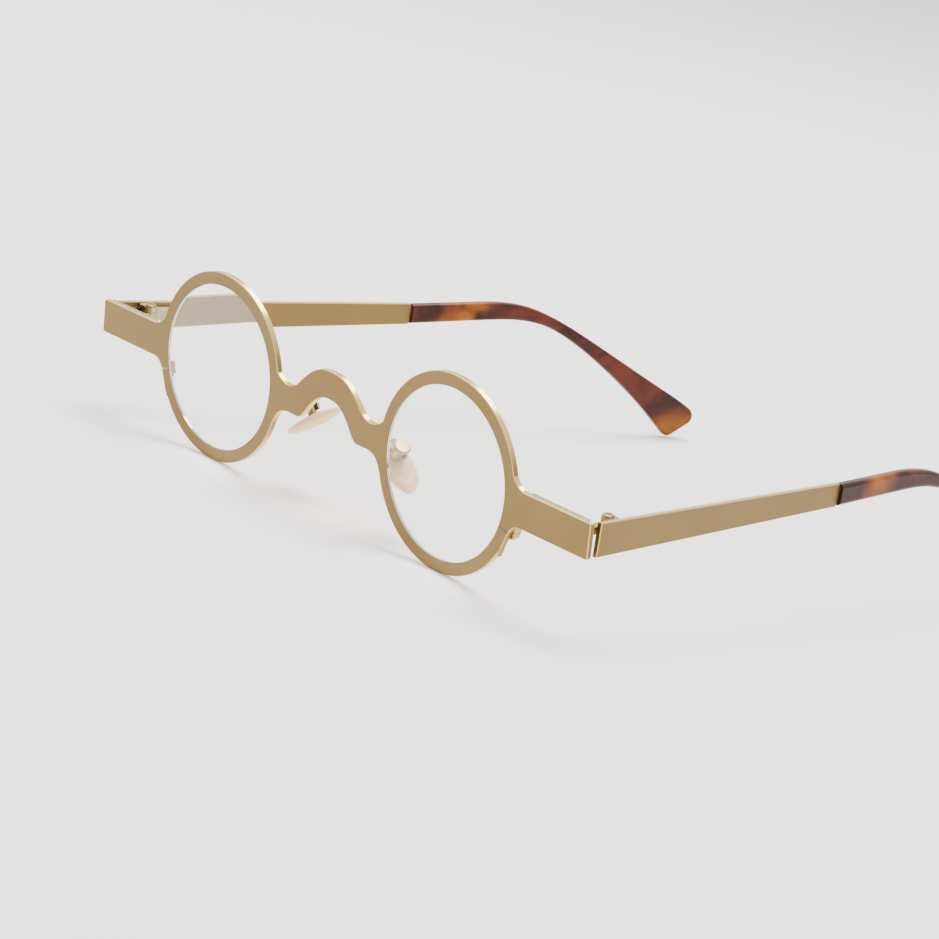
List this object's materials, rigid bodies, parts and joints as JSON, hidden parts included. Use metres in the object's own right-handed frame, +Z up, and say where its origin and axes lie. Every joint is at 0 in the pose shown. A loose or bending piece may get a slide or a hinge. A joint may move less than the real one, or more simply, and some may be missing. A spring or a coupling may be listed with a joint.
{
  "type": "folding reading glasses",
  "caption": "Round metal reading glasses with an arched bridge, hinged temples that fold behind the front, acetate temple tips and rocking silicone nose pads.",
  "frame": {"origin": "centre of the bounding box, on the surface the open glasses stand on", "axes": "+Z up, +X to the wearer's left, -Y the way the wearer looks, temples pointing to +Y"},
  "size_m": [0.1364, 0.1512, 0.0351],
  "materials": {
    "satin_metal": "satin champagne gold plating with polished edges",
    "bright_metal": "polished champagne gold plating",
    "lens_clear": "clear, polished, faint anti-reflection tint",
    "tortoise_acetate": "polished tortoiseshell acetate",
    "pad_silicone": "soft translucent silicone"
  },
  "bodies": {
    "front": {"front_frame": "satin_metal", "lens_left": "lens_clear", "rim_lock_upper_left": "bright_metal", "rim_lock_lower_left": "bright_metal", "rim_lock_screw_left": "bright_metal", "pad_arm_left": "bright_metal", "pad_box_left": "bright_metal", "pad_screw_left": "bright_metal", "hinge_front_leaf_left": "bright_metal", "lens_right": "lens_clear", "rim_lock_upper_right": "bright_metal", "rim_lock_lower_right": "bright_metal", "rim_lock_screw_right": "bright_metal", "pad_arm_right": "bright_metal", "pad_box_right": "bright_metal", "pad_screw_right": "bright_metal", "hinge_front_leaf_right": "bright_metal"},
    "temple_left": {"hinge_temple_leaf_left": "bright_metal", "hinge_screw_left": "bright_metal", "temple_arm_left": "satin_metal", "temple_tip_left": "tortoise_acetate"},
    "temple_right": {"hinge_temple_leaf_right": "bright_metal", "hinge_screw_right": "bright_metal", "temple_arm_right": "satin_metal", "temple_tip_right": "tortoise_acetate"},
    "pad_left": {"nose_pad_left": "pad_silicone", "pad_core_left": "bright_metal"},
    "pad_right": {"nose_pad_right": "pad_silicone", "pad_core_right": "bright_metal"}
  },
  "joints": [
    {"name": "temple_left_hinge", "type": "hinge", "parent": "front", "child": "temple_left", "pos_m": [0.0642, -0.06555, 0.01868], "axis": [0.0401, -0.1456, 0.9885], "range_deg": [0, 77]},
    {"name": "temple_right_hinge", "type": "hinge", "parent": "front", "child": "temple_right", "pos_m": [-0.0642, -0.06555, 0.01868], "axis": [0.0401, -0.1456, 0.9885], "range_deg": [-77, 0]},
    {"name": "pad_left_rock", "type": "hinge", "parent": "front", "child": "pad_left", "pos_m": [0.0135, -0.06585, 0.01575], "axis": [0.1176, 0.968, 0.2217], "range_deg": [-10, 10]},
    {"name": "pad_right_rock", "type": "hinge", "parent": "front", "child": "pad_right", "pos_m": [-0.0135, -0.06585, 0.01575], "axis": [-0.1176, 0.968, 0.2217], "range_deg": [-10, 10]}
  ]
}
